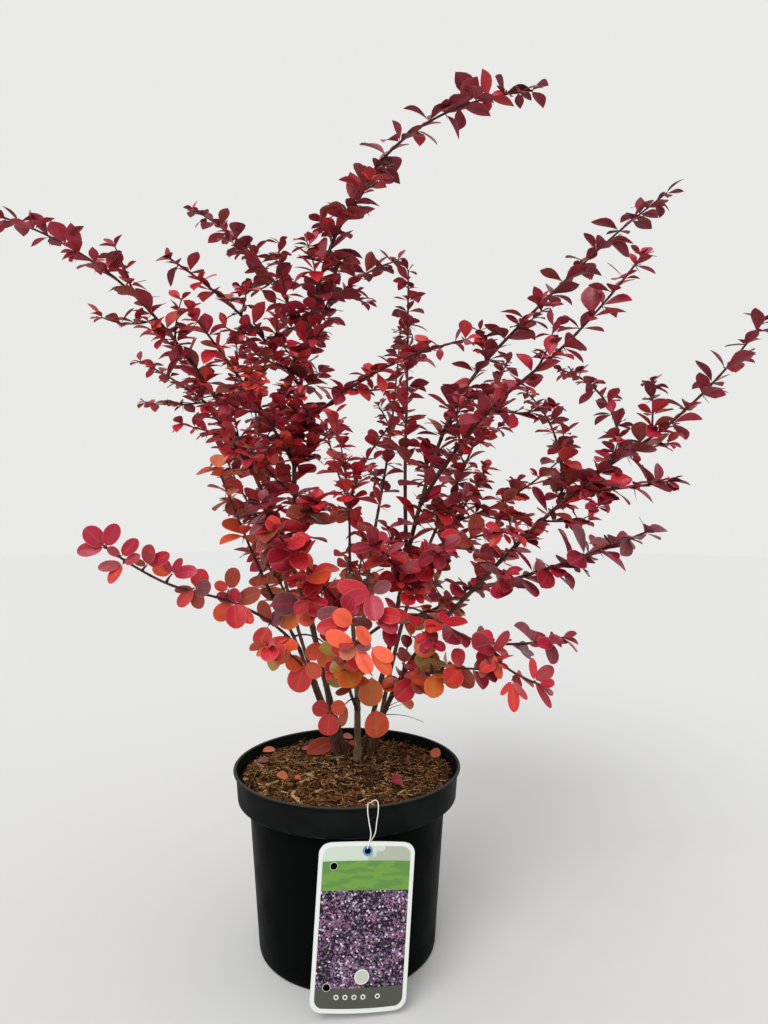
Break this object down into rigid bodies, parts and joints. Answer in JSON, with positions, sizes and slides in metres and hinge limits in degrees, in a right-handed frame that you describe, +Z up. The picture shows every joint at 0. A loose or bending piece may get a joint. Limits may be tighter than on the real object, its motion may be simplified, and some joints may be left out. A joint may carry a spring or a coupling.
{
  "type": "potted japanese barberry",
  "caption": "Young japanese barberry with arching canes in crimson, scarlet and orange autumn leaf, in a round black nursery pot with a blank hanging label.",
  "frame": {"origin": "centre of the pot's flat underside, on the ground", "axes": "+Z up, +Y towards the back of the plant, away from its hanging label, +X to the right as seen from the label's side"},
  "size_m": [0.6599, 0.4336, 0.7431],
  "materials": {
    "pot_plastic": "matte black moulded plastic",
    "bark_mulch": "rough damp bark and peat",
    "brown_bark": "satin young bark",
    "grey_bark": "rough old bark",
    "crimson_leaves": "waxy crimson leaves",
    "red_leaves": "waxy red leaves",
    "scarlet_leaves": "waxy scarlet and orange leaves",
    "label_plastic": "printed plastic card",
    "string": "white string"
  },
  "bodies": {
    "root": {"pot": "pot_plastic", "soil": "bark_mulch", "label_card": "label_plastic", "label_string": "string", "stem_back": "brown_bark", "stem_back_left": "brown_bark", "stem_back_right": "brown_bark", "stem_centre": "grey_bark", "stem_far_left": "brown_bark", "stem_far_right": "brown_bark", "stem_left": "brown_bark", "stem_top": "brown_bark", "stem_upper_right": "brown_bark", "bough_back_left_low": "brown_bark", "bough_back_low": "brown_bark", "bough_back_right_low": "brown_bark", "bough_front": "brown_bark", "bough_front_right": "brown_bark", "bough_low_left": "brown_bark", "bough_low_right": "brown_bark", "bough_second_right": "brown_bark", "bough_upright": "brown_bark", "foliage_far_left": "crimson_leaves", "foliage_far_left_side": "crimson_leaves", "foliage_far_left_front": "red_leaves", "foliage_top": "crimson_leaves", "foliage_top_back_left": "crimson_leaves", "foliage_top_left": "crimson_leaves", "foliage_top_front_left": "red_leaves", "foliage_top_front_right": "crimson_leaves", "foliage_top_back_right": "crimson_leaves", "foliage_left": "red_leaves", "foliage_low_left": "red_leaves", "foliage_low_front_left": "scarlet_leaves", "foliage_centre": "red_leaves", "foliage_centre_left": "red_leaves", "foliage_front": "scarlet_leaves", "foliage_front_right": "scarlet_leaves", "foliage_upper_right": "crimson_leaves", "foliage_upright": "crimson_leaves", "foliage_second_right": "crimson_leaves", "foliage_inner_right": "red_leaves", "foliage_far_right": "crimson_leaves", "foliage_far_right_tall": "crimson_leaves", "foliage_far_right_inner": "red_leaves", "foliage_far_right_front": "red_leaves", "foliage_low_right": "red_leaves", "foliage_low_centre": "scarlet_leaves", "foliage_back_left": "crimson_leaves", "foliage_back_left_low": "scarlet_leaves", "foliage_back_left_side": "red_leaves", "foliage_back": "crimson_leaves", "foliage_back_low": "scarlet_leaves", "foliage_back_side": "red_leaves", "foliage_back_right": "crimson_leaves", "foliage_back_right_low": "scarlet_leaves", "foliage_back_right_side": "red_leaves"}
  },
  "joints": []
}
